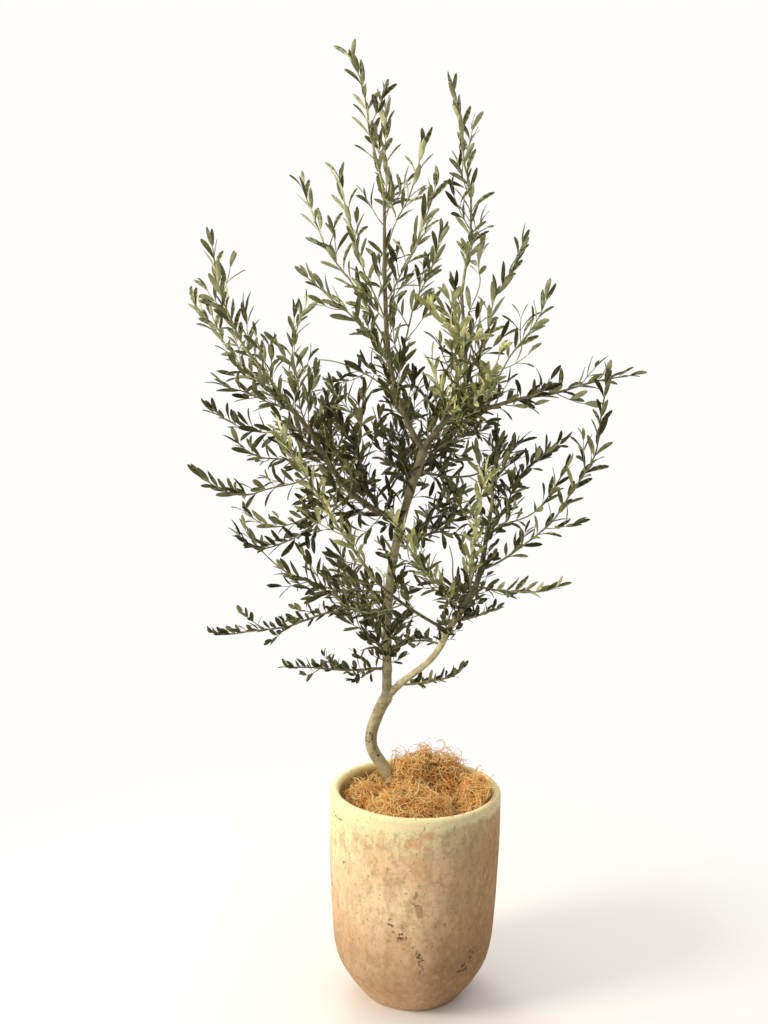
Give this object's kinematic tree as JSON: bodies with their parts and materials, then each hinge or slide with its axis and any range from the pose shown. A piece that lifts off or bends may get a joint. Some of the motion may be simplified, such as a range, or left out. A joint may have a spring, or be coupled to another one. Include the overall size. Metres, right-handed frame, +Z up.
{
  "type": "potted olive tree",
  "caption": "Young olive tree with a curved forked trunk and an open airy crown, planted in a tall round whitewashed clay pot topped with coconut fibre mulch.",
  "frame": {"origin": "centre of the pot's flat underside, which stands on the ground", "axes": "+Z up along the tree's height, +X to the right in the front view, +Y from the front to the back"},
  "size_m": [0.8123, 0.5313, 1.6988],
  "materials": {
    "pot": "whitewashed unglazed clay, matt and weathered",
    "soil": "moist potting mix",
    "mulch": "loose coconut fibre",
    "bark": "smooth grey-green young bark",
    "foliage": "narrow grey-green leaves, silvery underneath"
  },
  "bodies": {
    "root": {"back_high": "foliage", "back_low": "foliage", "back_right": "foliage", "core_front": "foliage", "core_left": "foliage", "core_left_high": "foliage", "core_right": "foliage", "crossing": "foliage", "crossing_bough": "bark", "fork_right": "foliage", "front_bright": "foliage", "front_centre": "foliage", "front_high": "foliage", "front_low": "foliage", "front_right": "foliage", "high_back": "foliage", "high_left": "foliage", "high_right": "foliage", "leader": "bark", "left_back": "foliage", "left_bough": "bark", "left_fifth": "foliage", "left_fourth": "foliage", "left_inner": "foliage", "left_long": "foliage", "left_low": "foliage", "left_lowest": "foliage", "left_outer": "foliage", "left_rise": "foliage", "left_second": "foliage", "left_small": "foliage", "left_spire": "foliage", "left_spire_outer": "foliage", "left_third": "foliage", "low_centre": "foliage", "low_left": "foliage", "low_limb": "bark", "low_right": "foliage", "main_stem": "bark", "mid_right": "foliage", "mulch": "mulch", "pot": "pot", "right_bough": "bark", "right_core": "foliage", "right_high": "foliage", "right_inner": "foliage", "right_long": "foliage", "right_low": "foliage", "right_lowest": "foliage", "right_mid": "foliage", "right_rise": "foliage", "right_sweep": "foliage", "right_upper": "foliage", "second_leader": "bark", "second_side": "foliage", "second_spire": "foliage", "soil": "soil", "tip_shoot": "foliage", "tip_side": "foliage", "trunk": "bark"}
  },
  "joints": []
}
